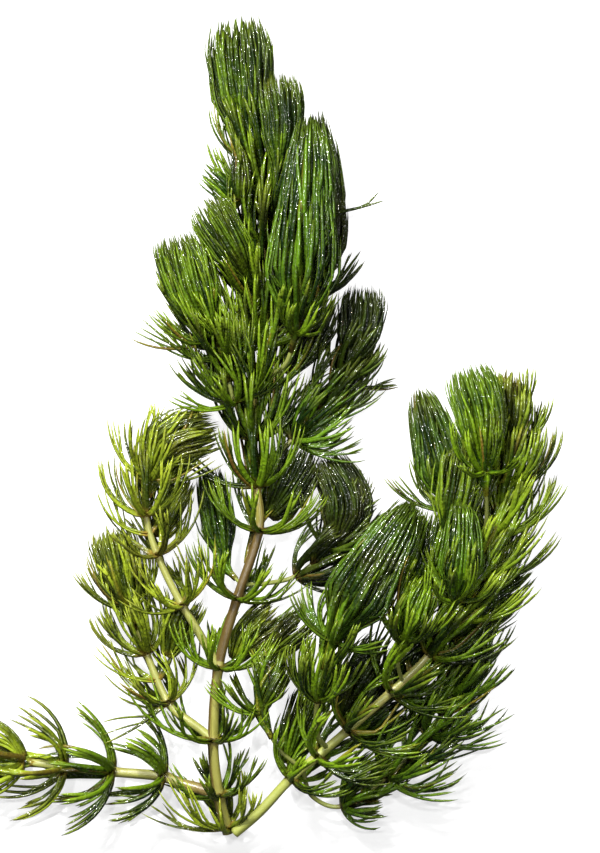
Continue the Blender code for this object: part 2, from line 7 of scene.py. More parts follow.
import bpy
import numpy as np
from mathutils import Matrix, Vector

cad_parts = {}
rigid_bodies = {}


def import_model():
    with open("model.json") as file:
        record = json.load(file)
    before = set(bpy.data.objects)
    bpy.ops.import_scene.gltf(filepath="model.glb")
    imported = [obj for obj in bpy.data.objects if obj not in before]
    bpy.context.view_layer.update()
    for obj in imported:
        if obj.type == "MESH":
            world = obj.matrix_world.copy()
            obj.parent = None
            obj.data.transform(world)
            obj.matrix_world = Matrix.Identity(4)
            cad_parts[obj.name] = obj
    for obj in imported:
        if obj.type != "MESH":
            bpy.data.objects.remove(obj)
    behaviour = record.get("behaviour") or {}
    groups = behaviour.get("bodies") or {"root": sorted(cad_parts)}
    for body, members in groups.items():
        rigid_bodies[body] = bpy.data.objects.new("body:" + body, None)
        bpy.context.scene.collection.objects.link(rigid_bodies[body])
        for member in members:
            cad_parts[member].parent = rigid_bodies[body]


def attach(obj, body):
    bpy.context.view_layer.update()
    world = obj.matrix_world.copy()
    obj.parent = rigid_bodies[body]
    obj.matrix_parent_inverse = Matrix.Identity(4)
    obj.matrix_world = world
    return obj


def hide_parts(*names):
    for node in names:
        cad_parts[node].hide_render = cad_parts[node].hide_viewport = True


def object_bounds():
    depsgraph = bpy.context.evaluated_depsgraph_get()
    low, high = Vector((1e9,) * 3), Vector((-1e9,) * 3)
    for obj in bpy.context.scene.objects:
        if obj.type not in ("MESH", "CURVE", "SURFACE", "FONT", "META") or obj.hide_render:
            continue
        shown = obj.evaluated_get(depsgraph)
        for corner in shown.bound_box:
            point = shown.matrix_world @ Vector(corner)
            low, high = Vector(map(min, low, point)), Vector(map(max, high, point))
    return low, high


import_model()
cad_low, cad_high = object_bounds()

MM = 0.001
SEED = 7
STEP = 0.5              # spacing of the samples along a path
CENTRE = (-0.136, -0.720)   # middle of the bunch's extent, seen from above

# Clearances
GAP = 0.3               # between a stem and the collar of a whorl, and at a fork
LEAF_GAP = 0.25         # between a leaf and anything that it passes
FORK_RISE = 3.4         # a side shoot leaves its parent this far above the node

# Leaves
LEAF_WIDTH = 2.1        # at the fork
LEAF_THICK = 0.8
FORK_AT = 0.42          # share of the leaf's length where it forks in two
ARM_SPREAD = 0.14       # each arm's sideways reach, as a share of the leaf's length
COLLAR_WALL = 0.55
MAIN_LEAVES = 7
SIDE_LEAVES = 6

# Leaf angles from the stem at the root and at the tip, in degrees
OPEN = (86.0, 34.0)
RISING = (70.0, 14.0)
CUPPED = (54.0, 2.0)

# Growing tips
LOCKS = 6               # ridges round a tip, each ending in a point of its own
RIDGE = 0.10            # height of a ridge, in tip radii
# Half-width of a tip along its axis, in tip radii: a pair of shares for each station, of which
# the last is where the locks' points are
BUD = ((0.0, 0.34), (0.28, 0.96), (0.68, 0.88), (1.0, 0.52))
BRUSH = ((0.0, 0.30), (0.34, 0.92), (0.76, 1.0), (1.0, 0.78))
FLAME = ((0.0, 0.26), (0.26, 1.0), (0.52, 0.80), (0.80, 0.56), (1.0, 0.16))

STEM_SIDES = 6

# Shoots: the node of the parent that each one leaves, the radius at its foot and at its end,
# the path of its stem, then the radius, form and axis of its growing tip.
# A path point with a leaf length and a habit carries a whorl; the last pair, where there is one,
# lengthens the leaves that point along (+X, +Y) by that share and shortens the opposite ones.
SHOOTS = {
    "main": {
        "parent": None, "radii": (1.45, 0.7),
        "stem": [
            (-6.8, -101.9, 6.5), (-9.2, -92.1, 9.0, 15.0, OPEN),
            (-10.5, -78.1, 12.0, 22.0, OPEN, (-0.25, 0.0)), (-9.2, -59.9, 14.0, 18.0, OPEN),
            (-4.5, -42.6, 15.0, 19.0, OPEN), (1.0, -25.6, 15.5, 20.0, OPEN),
            (0.4, -14.5, 15.5, 21.0, RISING), (-0.4, -2.6, 15.5, 23.0, RISING),
            (0.8, 9.0, 15.0, 24.0, RISING), (1.8, 20.5, 15.0, 24.0, RISING),
            (1.4, 32.0, 14.5, 23.0, RISING), (2.4, 45.5, 14.5, 22.0, RISING),
            (2.6, 57.0, 14.0, 22.0, RISING), (0.2, 66.4, 13.5, 20.0, CUPPED),
        ],
        "tip": (7.4, BRUSH, [(-1.6, 72.0, 13.0), (-3.2, 86.0, 12.0), (-4.4, 103.0, 11.0)]),
    },
    "trailing": {
        "parent": ("main", 1), "radii": (1.45, 0.95),
        "stem": [
            (-16.5, -90.4, 7.6), (-23.2, -87.6, 7.0, 18.0, OPEN), (-36.0, -86.4, 6.6, 20.0, OPEN),
            (-48.0, -85.1, 6.4, 20.0, OPEN), (-58.5, -83.9, 6.2, 19.0, RISING),
        ],
        "tip": (4.8, BUD, [(-63.0, -83.2, 6.0), (-71.0, -81.6, 5.7), (-80.0, -78.6, 5.6)]),
    },
    "lower_left": {
        "parent": ("main", 2), "radii": (1.05, 0.7),
        "stem": [
            (-15.4, -74.8, 11.2), (-21.8, -68.9, 10.0, 18.0, OPEN),
            (-27.3, -56.4, 9.4, 19.0, RISING), (-31.3, -45.0, 9.0, 18.0, RISING),
        ],
        "tip": (5.2, BRUSH, [(-32.4, -41.5, 8.8), (-34.4, -34.0, 8.2), (-36.4, -25.0, 7.6)]),
    },
    "upper_left": {
        "parent": ("main", 3), "radii": (1.0, 0.6),
        "stem": [
            (-12.2, -52.6, 15.4), (-18.2, -44.1, 16.4, 18.0, OPEN),
            (-24.3, -31.6, 17.0, 20.0, OPEN), (-27.2, -21.6, 17.2, 20.0, RISING),
            (-26.4, -13.0, 17.4, 19.0, RISING),
        ],
        "tip": (6.0, BRUSH, [(-25.2, -9.6, 17.4), (-20.0, -3.0, 17.0), (-10.4, -0.4, 16.6)]),
    },
    "right": {
        "parent": None, "radii": (1.3, 0.7),
        "stem": [
            (-5.2, -101.6, 9.9), (1.2, -96.0, 11.6), (9.0, -87.6, 13.0, 16.0, OPEN),
            (15.6, -82.0, 14.2, 20.0, OPEN), (23.2, -75.4, 15.4, 21.0, OPEN),
            (34.0, -65.8, 16.6, 22.0, OPEN), (43.5, -56.4, 17.0, 21.0, RISING, (0.12, 0.0)),
            (50.2, -47.0, 17.0, 21.5, RISING, (0.12, 0.0)),
            (55.6, -37.0, 16.8, 22.0, RISING, (0.1, 0.0)),
            (59.6, -26.4, 16.4, 22.0, RISING, (0.1, 0.0)),
            (61.8, -15.4, 16.0, 21.0, RISING, (0.1, 0.0)), (62.8, -5.0, 15.4, 18.0, RISING),
        ],
        "tip": (3.0, BUD, [(63.0, -1.8, 15.2), (63.4, 6.0, 14.8), (63.8, 14.2, 14.4)]),
    },
    "left_head": {
        "parent": ("main", 7), "radii": (0.85, 0.6),
        "stem": [
            (-5.0, 6.4, 19.5, 19.0, OPEN), (-7.6, 17.4, 21.0, 21.0, OPEN),
            (-10.4, 22.4, 21.4, 21.0, OPEN),
        ],
        "tip": (7.0, BRUSH, [(-11.8, 25.6, 21.6), (-15.6, 35.0, 21.8), (-19.6, 48.6, 21.0)]),
    },
    "left_shoulder": {
        "parent": ("main", 10), "radii": (0.7, 0.6),
        "stem": [(-1.0, 36.6, 20.0)],
        "tip": (5.2, BRUSH, [(-2.0, 38.6, 21.6), (-7.2, 47.4, 24.8), (-12.8, 57.0, 25.8)]),
    },
    "front_flame": {
        "parent": ("main", 8), "radii": (0.8, 0.65),
        "stem": [
            (7.4, 15.6, 24.0), (10.2, 23.8, 28.0, 15.5, OPEN),
        ],
        "tip": (8.6, FLAME, [(10.6, 26.6, 29.0), (12.4, 46.0, 31.0), (13.6, 77.2, 30.0)]),
    },
    "back_flame": {
        "parent": ("main", 9), "radii": (0.75, 0.6),
        "stem": [
            (10.0, 26.0, 11.5), (14.8, 33.4, 9.6, 17.0, RISING),
        ],
        "tip": (5.6, FLAME, [(15.8, 37.2, 9.0), (17.6, 55.0, 8.4), (15.4, 79.4, 8.4)]),
    },
    "right_back": {
        "parent": ("main", 6), "radii": (0.8, 0.6),
        "stem": [
            (9.4, -2.8, 10.8, 20.0, OPEN), (16.6, 4.8, 9.4, 19.0, RISING),
            (21.6, 12.4, 8.8, 18.0, RISING, (-0.2, 0.0)),
        ],
        "tip": (4.9, BRUSH, [(24.0, 17.0, 8.7), (26.4, 26.0, 8.6), (27.2, 35.8, 8.4)]),
    },
    "drooping": {
        "parent": ("main", 4), "radii": (0.8, 0.6),
        "stem": [
            (3.0, -38.8, 11.5), (10.2, -37.0, 9.4, 19.0, RISING), (18.2, -30.6, 8.6, 18.0, RISING),
        ],
        "tip": (5.6, BUD, [(20.4, -27.6, 8.6), (22.8, -18.0, 8.6), (17.2, -6.6, 8.6)]),
    },
    "left_back": {
        "parent": ("main", 4), "radii": (0.6, 0.5),
        "stem": [(-7.6, -34.6, 9.4)],
        "tip": (3.6, BUD, [(-8.2, -31.4, 8.0), (-10.0, -21.6, 6.6), (-12.2, -9.6, 6.2)]),
    },
    "lower_right": {
        "parent": ("right", 2), "radii": (0.8, 0.6),
        "stem": [
            (14.4, -92.6, 6.8), (22.0, -95.2, 5.0, 14.5, OPEN, (0.1, 0.25)),
            (33.0, -87.8, 6.4, 20.0, OPEN, (0.1, 0.0)), (43.2, -77.0, 6.8, 20.0, OPEN, (0.1, 0.0)),
            (49.4, -67.2, 6.8, 18.0, RISING, (0.1, 0.0)),
        ],
        "tip": (4.6, BRUSH, [(51.0, -63.8, 6.6), (53.4, -57.6, 6.2), (55.4, -50.4, 6.0)]),
    },
    "middle_left": {
        "parent": ("right", 2), "radii": (0.65, 0.5),
        "stem": [
            (5.6, -79.6, 16.4), (1.6, -71.2, 17.0, 17.0, RISING),
        ],
        "tip": (3.4, BUD, [(1.8, -68.4, 17.0), (4.0, -63.6, 17.2), (7.6, -57.8, 17.2)]),
    },
    "glossy": {
        "parent": ("right", 3), "radii": (0.9, 0.65),
        "stem": [
            (15.6, -76.2, 20.4), (15.6, -67.2, 25.4, 18.0, RISING),
            (19.6, -52.6, 28.4, 19.0, RISING),
        ],
        "tip": (8.0, FLAME, [(21.2, -49.2, 28.8), (29.6, -34.4, 30.4), (39.6, -18.0, 29.4)]),
    },
    "cup": {
        "parent": ("right", 5), "radii": (0.7, 0.55),
        "stem": [
            (35.6, -58.2, 23.0), (36.6, -52.4, 27.0, 18.0, RISING),
        ],
        "tip": (3.6, BUD, [(37.2, -49.6, 28.0), (39.2, -43.2, 29.2), (42.0, -36.8, 29.6)]),
    },
    "striped": {
        "parent": ("right", 6), "radii": (0.7, 0.55),
        "stem": [
            (48.4, -48.6, 23.0), (49.8, -42.8, 27.0, 17.0, RISING),
        ],
        "tip": (5.0, FLAME, [(50.2, -39.6, 28.6), (51.2, -29.0, 30.6), (51.0, -17.6, 30.0)]),
    },
    "upper_right": {
        "parent": ("right", 7), "radii": (0.8, 0.6),
        "stem": [
            (50.0, -28.4, 14.0), (48.6, -20.4, 13.4, 19.0, RISING),
        ],
        "tip": (6.4, FLAME, [(48.0, -16.8, 13.2), (45.4, -3.6, 13.0), (41.2, 10.4, 12.6)]),
    },
    "rounded": {
        "parent": ("right", 8), "radii": (0.8, 0.6),
        "stem": [
            (57.6, -20.2, 22.8), (56.8, -10.8, 25.4, 17.0, RISING),
        ],
        "tip": (6.0, BRUSH, [(56.6, -8.0, 25.2), (56.4, 3.0, 25.4), (52.8, 15.8, 24.6)]),
    },
    "tier": {
        "parent": ("main", 11), "radii": (0.7, 0.55),
        "stem": [(5.2, 62.4, 17.6)],
        "tip": (4.6, BRUSH, [(6.0, 65.0, 18.4), (7.4, 76.0, 18.6), (6.2, 88.8, 17.6)]),
    },
    "low_fan": {
        "parent": ("right", 4), "radii": (0.7, 0.55),
        "stem": [
            (29.2, -71.4, 10.0), (34.0, -66.6, 9.0, 18.0, OPEN),
        ],
        "tip": (3.8, BUD, [(36.4, -64.6, 8.4), (41.2, -58.0, 7.6), (44.4, -48.6, 7.4)]),
    },
}

# Shoots whose stem, whorls and growing tip are nodes of their own; each other shoot is one piece.
AXES = ("main", "right", "trailing", "lower_left", "upper_left")

# Paths


def unit(v):
    return v / np.linalg.norm(v)


def smooth_path(points):
    """Curve through the points, as closely spaced samples, with each point's sample number."""
    p = np.array(points, float)
    p = np.vstack([2 * p[0] - p[1], p, 2 * p[-1] - p[-2]])
    samples, marks = [], [0]
    for a, b, c, d in zip(p[:-3], p[1:-2], p[2:-1], p[3:]):
        count = max(3, int(np.linalg.norm(c - b) / STEP))
        t = (np.arange(count) / count)[:, None]
        samples.append(0.5 * (2 * b + (c - a) * t + (2 * a - 5 * b + 4 * c - d) * t**2
                              + (3 * b - a - 3 * c + d) * t**3))
        marks.append(marks[-1] + count)
    samples.append(p[-2][None])
    return np.vstack(samples), marks


def tangents(samples):
    t = np.gradient(samples, axis=0)
    return t / np.linalg.norm(t, axis=1)[:, None]


def cross_axes(tangent):
    """Two directions across a stem: one level, one as near to +Z as it goes."""
    side = unit(np.cross(tangent, (0.0, 0.0, 1.0)))
    return side, np.cross(side, tangent)


def spoke(tangent, angle):
    side, up = cross_axes(tangent)
    return math.cos(angle) * side + math.sin(angle) * up


def ring_places(centre, tangent, radius, angles):
    return np.array([centre + r * spoke(tangent, a)
                     for a, r in zip(angles, np.broadcast_to(radius, len(angles)))])


def between(start, end, count):
    return start + (end - start) * np.linspace(0, 1, count)[:, None]


# Plan of the bunch


class Crowd:
    """The balls that fill every piece placed so far, so that new leaves can pass them."""

    def __init__(self):
        self.places = np.zeros((0, 3))
        self.radii = np.zeros(0)

    def add(self, places, radii):
        self.places = np.vstack([self.places, places])
        self.radii = np.concatenate([self.radii, np.broadcast_to(radii, len(places))])

    def passes(self, places, radii, gap):
        low, high = places.min(axis=0) - 9.0, places.max(axis=0) + 9.0
        near = np.all((self.places > low) & (self.places < high), axis=1)
        if not near.any():
            return True
        apart = np.linalg.norm(places[:, None] - self.places[near][None], axis=2)
        return bool(np.all(apart > self.radii[near][None] + radii[:, None] + gap))


def half_width(form, share):
    """Of a tip at a share of its length, in tip radii."""
    shares, widths = zip(*form)
    return np.interp(share, shares, widths)


def plan_shoot(name, plans):
    """Samples of a shoot's axis from its foot to the end of its tip, and its whorls."""
    spec = SHOOTS[name]
    points = [p[:3] for p in spec["stem"]]
    first = 0
    if spec["parent"]:
        parent = plans[spec["parent"][0]]
        fork = parent["marks"][spec["parent"][1]] + round(FORK_RISE / STEP)
        points.insert(0, tuple(parent["axis"][fork]))
        first = 1
    radius, form, tip_points = spec["tip"]
    axis, marks = smooth_path(points + tip_points)
    foot = 0
    if spec["parent"]:
        foot = clear_of_parent(axis, spec["radii"][0], parent)
    end = marks[len(points)]
    share = np.clip((np.arange(end + 1) - foot) / (end - foot), 0, 1)
    thick = spec["radii"][0] + (spec["radii"][1] - spec["radii"][0]) * share
    marks = marks[first:] if first else marks
    whorls = []
    for number, point in enumerate(spec["stem"]):
        if len(point) > 3:
            whorls.append({"sample": marks[number], "length": point[3], "habit": point[4],
                           "lean": point[5] if len(point) > 5 else (0.0, 0.0)})
    return {"name": name, "axis": axis, "ways": tangents(axis), "marks": marks, "foot": foot,
            "end": end, "count": len(spec["stem"]), "thick": thick, "tip_radius": radius,
            "form": form, "whorls": whorls}


def clear_of_parent(axis, radius, parent):
    """First sample of a side shoot at which its whole end clears the parent's stem."""
    ways = tangents(axis)
    stem = parent["axis"][: parent["end"] + 1]
    reach = parent["thick"] + GAP + 0.05
    angles = np.arange(STEM_SIDES) * math.tau / STEM_SIDES
    for sample in range(1, len(axis) - 1):
        rim = ring_places(axis[sample], ways[sample], radius, angles)
        apart = np.linalg.norm(rim[:, None] - stem[None], axis=2)
        if np.all(apart > reach[None]):
            return sample
    return 1


def press(places, low):
    """Bend what would pass the resting plane so that it lies along it."""
    ease = 1.2
    rise = places[:, 2] - low
    eased = (rise + ease) ** 2 / (4 * ease)
    places = places.copy()
    places[:, 2] = low + np.where(rise <= -ease, 0.0, np.where(rise >= ease, rise, eased))
    return places


def leaf_course(root, tangent, angle, length, habit, steps=24):
    """Centreline of a leaf that leaves the stem outwards and bends up along it."""
    out = spoke(tangent, angle)
    s = (np.arange(steps) + 0.5) / steps
    lean = np.radians(habit[0] + (habit[1] - habit[0]) * s**0.8)
    stride = length / steps * (np.cos(lean)[:, None] * tangent + np.sin(lean)[:, None] * out)
    course = np.vstack([root, root + np.cumsum(stride, axis=0)])
    return course, np.cross(out, tangent)


def leaf_parts(course, across, length):
    """The stalk as far as the fork, and the two arms."""
    steps = len(course) - 1
    fork = round(FORK_AT * steps)
    s = (np.arange(fork, steps + 1) - fork) / (steps - fork)
    part = (ARM_SPREAD * length * s**0.9)[:, None] * across
    low = LEAF_THICK / 2
    return press(course[: fork + 1], low), press(course[fork:] - part, low), press(
        course[fork:] + part, low)


TRIES = [(turn, lift, short) for short in (1.0, 0.86, 0.7) for lift in (0, 10, 22, 36, 50)
         for turn in (0, 8, -8, 16, -16, 24, -24)]


def arm_corners(arm):
    """An arm's fork, its bend where it comes down to the resting plane, and its end."""
    down = np.flatnonzero(arm[:, 2] < LEAF_THICK / 2 + 1e-6)
    if len(down) > 2 and down[0] > 0:
        return [arm[0], arm[down[0]], arm[-1]]
    return [arm[0], arm[-1]]


def leaf_body(stalk, arms):
    """Balls that fill a leaf, but for its root, with their radii."""
    places = [between(stalk[0], stalk[-1], 10)[2:]]
    radii = [np.full(8, LEAF_WIDTH / 2)]
    for arm in arms:
        corners = arm_corners(arm)
        for start, end in zip(corners, corners[1:]):
            places.append(between(start, end, 12))
        radii.append(np.linspace(LEAF_WIDTH / 3, 0.25, 12 * (len(corners) - 1)))
    return np.vstack(places), np.concatenate(radii)


def plan_leaf(plan, whorl, angle, crowd, own):
    """A leaf that passes everything placed before it, or None where there is no room."""
    sample, hub = whorl["sample"], whorl["hub"]
    centre, tangent = plan["axis"][sample], plan["ways"][sample]
    for turn, lift, short in TRIES:
        way = angle + math.radians(turn)
        out = spoke(tangent, way)
        bias = 1 + whorl["lean"][0] * out[0] + whorl["lean"][1] * out[1]
        length = whorl["length"] * short * bias
        habit = (min(whorl["habit"][0] + lift * 0.5, 100), whorl["habit"][1] + lift)
        course, across = leaf_course(centre + hub * spoke(tangent, angle), tangent, way, length,
                                     habit)
        stalk, *arms = leaf_parts(course, across, length)
        body, radii = leaf_body(stalk, arms)
        if not crowd.passes(body, radii, LEAF_GAP):
            continue
        free = np.linalg.norm(body - centre, axis=1) > hub + 4.5
        if own.passes(body[free], radii[free], LEAF_GAP):
            own.add(body, radii)
            return {"stalk": stalk, "arms": arms, "across": across}
    return None


def plan_bunch():
    """Axes, whorls and leaves of the whole bunch, each leaf clear of what is already there."""
    rng = random.Random(SEED)
    plans = {}
    for name in SHOOTS:
        plans[name] = plan_shoot(name, plans)
    crowd = Crowd()
    for plan in plans.values():
        foot, end, axis = plan["foot"], plan["end"], plan["axis"]
        crowd.add(axis[foot:end], plan["thick"][foot:end])
        share = np.linspace(0, 1, len(axis) - end)
        crowd.add(axis[end:], plan["tip_radius"] * (half_width(plan["form"], share) + RIDGE))
        collar = GAP + 0.1 + COLLAR_WALL if plan["name"] in AXES else 0.0
        for whorl in plan["whorls"]:
            sample = whorl["sample"]
            whorl["hub"] = plan["thick"][sample] + collar
            crowd.add(axis[sample][None], whorl["hub"])
    for name, plan in plans.items():
        for number, whorl in enumerate(plan["whorls"]):
            count = MAIN_LEAVES if name in AXES else SIDE_LEAVES
            whorl["phase"] = rng.uniform(-0.15, 0.15) + (number % 2) * math.pi / count
            own = Crowd()
            whorl["leaves"] = [plan_leaf(plan, whorl, whorl["phase"] + k * math.tau / count,
                                         crowd, own) for k in range(count)]
            crowd.add(own.places, own.radii)
    return plans


# Looks of each shoot

# Leaf colours: shaded, lit, at the tip and at the root of a leaf
PALETTES = {
    "green": ((0.005, 0.014, 0.0008), (0.078, 0.142, 0.0030),
              (0.23, 0.31, 0.016), (0.10, 0.068, 0.008)),
    "deep": ((0.003, 0.012, 0.0008), (0.056, 0.118, 0.0030),
             (0.19, 0.27, 0.018), (0.08, 0.058, 0.010)),
    "olive": ((0.018, 0.030, 0.0015), (0.175, 0.230, 0.0090),
              (0.36, 0.40, 0.036), (0.22, 0.13, 0.024)),
    "fresh": ((0.010, 0.022, 0.0010), (0.112, 0.178, 0.0050),
              (0.30, 0.36, 0.028), (0.15, 0.10, 0.014)),
    # painted shade: a darkened palette for the shoots and tufts that lie behind and under the
    # others, standing in for the shade that they are in
    "painted_shade": ((0.003, 0.007, 0.0008), (0.028, 0.050, 0.0022),
             (0.12, 0.15, 0.014), (0.06, 0.036, 0.008)),
    "bright": ((0.010, 0.030, 0.0010), (0.118, 0.208, 0.0030),
               (0.26, 0.38, 0.014), (0.13, 0.10, 0.010)),
    "straw": ((0.020, 0.026, 0.0020), (0.175, 0.190, 0.0110),
              (0.36, 0.35, 0.036), (0.19, 0.11, 0.020)),
}
RUST = (0.17, 0.085, 0.014)

# For each shoot: palettes of its lower leaves, upper leaves and tip, strands in its tip, extra
# leaves in its lowest and its highest whorl, leaves halfway above its lowest and its highest
# whorl, and how wide its arms are
LOOKS = {
    "main": ("green", "green", "green", 380, (5, 12), (-2, 11), 1.1),
    "trailing": ("green", "olive", "olive", 46, (4, 4), (0, 0), 1.55),
    "lower_left": ("olive", "olive", "olive", 150, (8, 11), (7, 10), 1.0),
    "upper_left": ("olive", "olive", "olive", 200, (6, 6), (2, 5), 1.05),
    "right": ("green", "fresh", "straw", 90, (5, 11), (0, 10), 1.25),
    "left_head": ("green", "green", "green", 250, (11, 10), (8, 8), 1.05),
    "left_shoulder": ("green", "green", "green", 160, (0, 0), (0, 0), 1.0),
    "front_flame": ("green", "deep", "deep", 380, (10, 10), (9, 9), 1.25),
    "back_flame": ("painted_shade", "painted_shade", "painted_shade", 230, (6, 6), (6, 6), 1.0),
    "right_back": ("deep", "painted_shade", "painted_shade", 210, (14, 9), (11, 6), 1.0),
    "drooping": ("painted_shade", "painted_shade", "painted_shade", 240, (11, 9), (9, 8), 1.0),
    "left_back": ("painted_shade", "painted_shade", "deep", 120, (0, 0), (0, 0), 1.0),
    "lower_right": ("deep", "deep", "green", 140, (12, 9), (8, 8), 1.2),
    "middle_left": ("green", "green", "green", 100, (7, 7), (5, 5), 1.2),
    "glossy": ("green", "deep", "deep", 380, (9, 9), (7, 8), 1.25),
    "cup": ("green", "green", "bright", 120, (7, 7), (5, 5), 1.2),
    "striped": ("green", "green", "deep", 210, (7, 7), (6, 6), 1.1),
    "upper_right": ("green", "deep", "deep", 240, (8, 8), (7, 7), 1.05),
    "rounded": ("bright", "bright", "bright", 290, (13, 13), (11, 11), 1.05),
    "tier": ("green", "green", "green", 170, (0, 0), (0, 0), 1.0),
    "low_fan": ("deep", "deep", "painted_shade", 130, (7, 7), (5, 5), 1.1),
}

# Numbers of arms that a leaf may have, where that isn't 3 to 5
ARMS = {"trailing": (2, 3, 3), "upper_left": (3, 3, 4), "lower_left": (3, 3, 4)}

# Shoots whose arms lie closer together
CLOSE_ARMS = ("trailing",)

# How wide a stem is beside its solid
STEM_SCALE = {"lower_left": 1.05, "upper_left": 1.1}
SPRIG_STEM_SCALE = 0.75

# Lower whorls of the stems that lie in full view
BARE_WHORLS = {"main": 5, "right": 4, "lower_left": 1, "upper_left": 2}

# Tufts of young leaves in the axils, too fine for the solids: palette, strands, radius, form
# and path
TUFTS = {
    "core_right": ("painted_shade", 150, 6.0, BRUSH, [(3.5, -22, 10), (8, -14, 9), (13, -4, 8.5)]),
    "core_upper": ("painted_shade", 110, 4.5, BRUSH, [(8, 14, 10), (14, 24, 9), (18, 33, 9)]),
    "right_gap": ("green", 150, 5.5, BRUSH, [(38, -42, 20), (42, -32, 19), (45, -20, 18)]),
    "low_core": ("olive", 110, 4.4, BRUSH, [(-5, -58, 9), (-1, -51, 8), (6, -45, 8)]),
    "low_right": ("painted_shade", 130, 6.0, BRUSH, [(22, -72, 10), (28, -62, 9), (34, -53, 9)]),
    "low_middle": ("green", 100, 4.6, BRUSH, [(8, -84, 8), (12, -74, 8), (16, -64, 8)]),
    "right_upper": ("fresh", 130, 5.4, BRUSH, [(48, -26, 22), (51, -16, 23), (53, -4, 23)]),
    "under_right": ("deep", 90, 4.2, BRUSH, [(25, -79, 6), (32, -75, 6), (39, -70, 6)]),
    "low_gap": ("green", 90, 4.4, BRUSH, [(3, -57, 9), (8, -52, 9), (14, -47, 9)]),
    "right_edge": ("green", 80, 4.2, BRUSH, [(54, -44, 12), (60, -40, 11), (68, -34, 11)]),
    "right_side": ("green", 90, 4.2, BRUSH, [(50, -53, 10), (57, -48, 9), (66, -41, 9)]),
    "left_bend": ("olive", 110, 5.0, BRUSH, [(-23, -12, 16), (-17, -3, 16), (-9, 0, 16)]),
    "left_inner": ("olive", 80, 4.0, BRUSH, [(-24, -27, 12), (-21, -19, 12), (-17, -12, 12)]),
    "left_low": ("olive", 80, 4.2, BRUSH, [(-22, -57, 10), (-19, -49, 10), (-15, -42, 10)]),
    "young_left": ("bright", 45, 2.6, BRUSH, [(-3.8, 56, 17), (-8.2, 61, 18), (-12.7, 65, 18)]),
    "pointed_bud": ("green", 36, 2.2, FLAME, [(-3.5, 57, 20), (-3.7, 62, 22), (-3.9, 70, 22)]),
}

# Gaps in the bunch through which the background shows: x, y and radius, in millimetres
GAPS = np.array([
    (21.8, 27.1, 1.5), (20.0, 23.9, 1.7), (17.8, 20.1, 1.7), (15.8, 16.6, 1.4),
    (-15.5, -13.0, 1.6), (-15.6, -18.0, 1.6), (-16.0, -24.0, 1.8), (-16.5, -30.0, 1.6),
    (-4.5, -28.0, 2.0), (-5.2, -33.0, 2.0), (-9.5, -47.0, 1.8), (12.0, -41.0, 1.6),
    (-17.5, -62.9, 2.2), (-18.7, -67.9, 2.2), (-16.2, -72.9, 2.0),
    (-4.6, -65.4, 2.2), (-1.2, -65.4, 1.8), (-3.7, -70.4, 2.2), (-3.7, -82.5, 2.4),
    (-17.0, -84.0, 2.4), (-14.0, -82.0, 2.0),
])

STRAND_RINGS = 9        # rings along a strand
PRONG_RINGS = 4
STRAND_SIDES = 4
STEM_RING_SIDES = 16
ARM_SAMPLES = 30
LEAF_ARM = 1.25         # width of a leaf's arm, in millimetres
TIP_ARM = 1.15
STRAND_LENGTH = 25.0    # of a young leaf in a growing tip
FLAT = 0.6              # thickness of an arm as a share of its width
GOLDEN_ANGLE = 2.399963
PRONGED_ARMS = 0.12     # share of the arms that have a side tooth
STAINED_ARMS = 0.05
STAINED_YOUNG = 0.012
LEAVES_IN_TURN = 13     # young leaves side by side round a growing tip
LEAF_TONES = 41         # tones that the leaves of a growing tip share

noise = random.Random(SEED + 1)


# Mesh parts


class Piece:
    """Collects parts of one mesh: points, faces, their material and four values for each point."""

    def __init__(self, name, materials):
        self.name, self.materials = name, materials
        self.points, self.values, self.faces, self.slots = [], [], [], []
        self.count = 0

    def add(self, points, values, faces, slot):
        """values holds, for each point: tone, along, edge, stain."""
        self.points.append(points)
        self.values.append(values)
        for group in faces:
            self.faces.append(group + self.count)
            self.slots.append(np.full(len(group), slot))
        self.count += len(points)

    def build(self):
        points = np.vstack(self.points)
        points[:, :2] -= CENTRE
        points = np.clip(points * MM, np.array(cad_low) - 0.001, np.array(cad_high) + 0.001)
        points[:, 2] = np.maximum(points[:, 2], 0.00002)
        values = np.vstack(self.values)
        sizes = np.concatenate([np.full(len(g), g.shape[1]) for g in self.faces])
        loops = np.concatenate([g.ravel() for g in self.faces])
        mesh = bpy.data.meshes.new(self.name)
        mesh.vertices.add(len(points))
        mesh.vertices.foreach_set("co", points.astype(np.float32).ravel())
        mesh.loops.add(len(loops))
        mesh.loops.foreach_set("vertex_index", loops.astype(np.int32))
        mesh.polygons.add(len(sizes))
        starts = np.concatenate([[0], np.cumsum(sizes)[:-1]])
        mesh.polygons.foreach_set("loop_start", starts.astype(np.int32))
        mesh.polygons.foreach_set("material_index", np.concatenate(self.slots).astype(np.int32))
        mesh.update(calc_edges=True)
        mesh.shade_smooth()
        for k, attribute in enumerate(("tone", "along", "edge", "stain")):
            layer = mesh.attributes.new(attribute, "FLOAT", "POINT")
            layer.data.foreach_set("value", values[:, k].astype(np.float32))
        for material in self.materials:
            mesh.materials.append(material)
        obj = bpy.data.objects.new(self.name, mesh)
        bpy.context.scene.collection.objects.link(obj)
        return obj


def even_path(path, count):
    """The path again with that many points, evenly spaced."""
    gaps = np.linalg.norm(np.diff(path, axis=0), axis=1)
    reach = np.concatenate([[0.0], np.cumsum(gaps)])
    wanted = np.linspace(0.0, reach[-1], count)
    return np.stack([np.interp(wanted, reach, path[:, k]) for k in range(3)], axis=1)


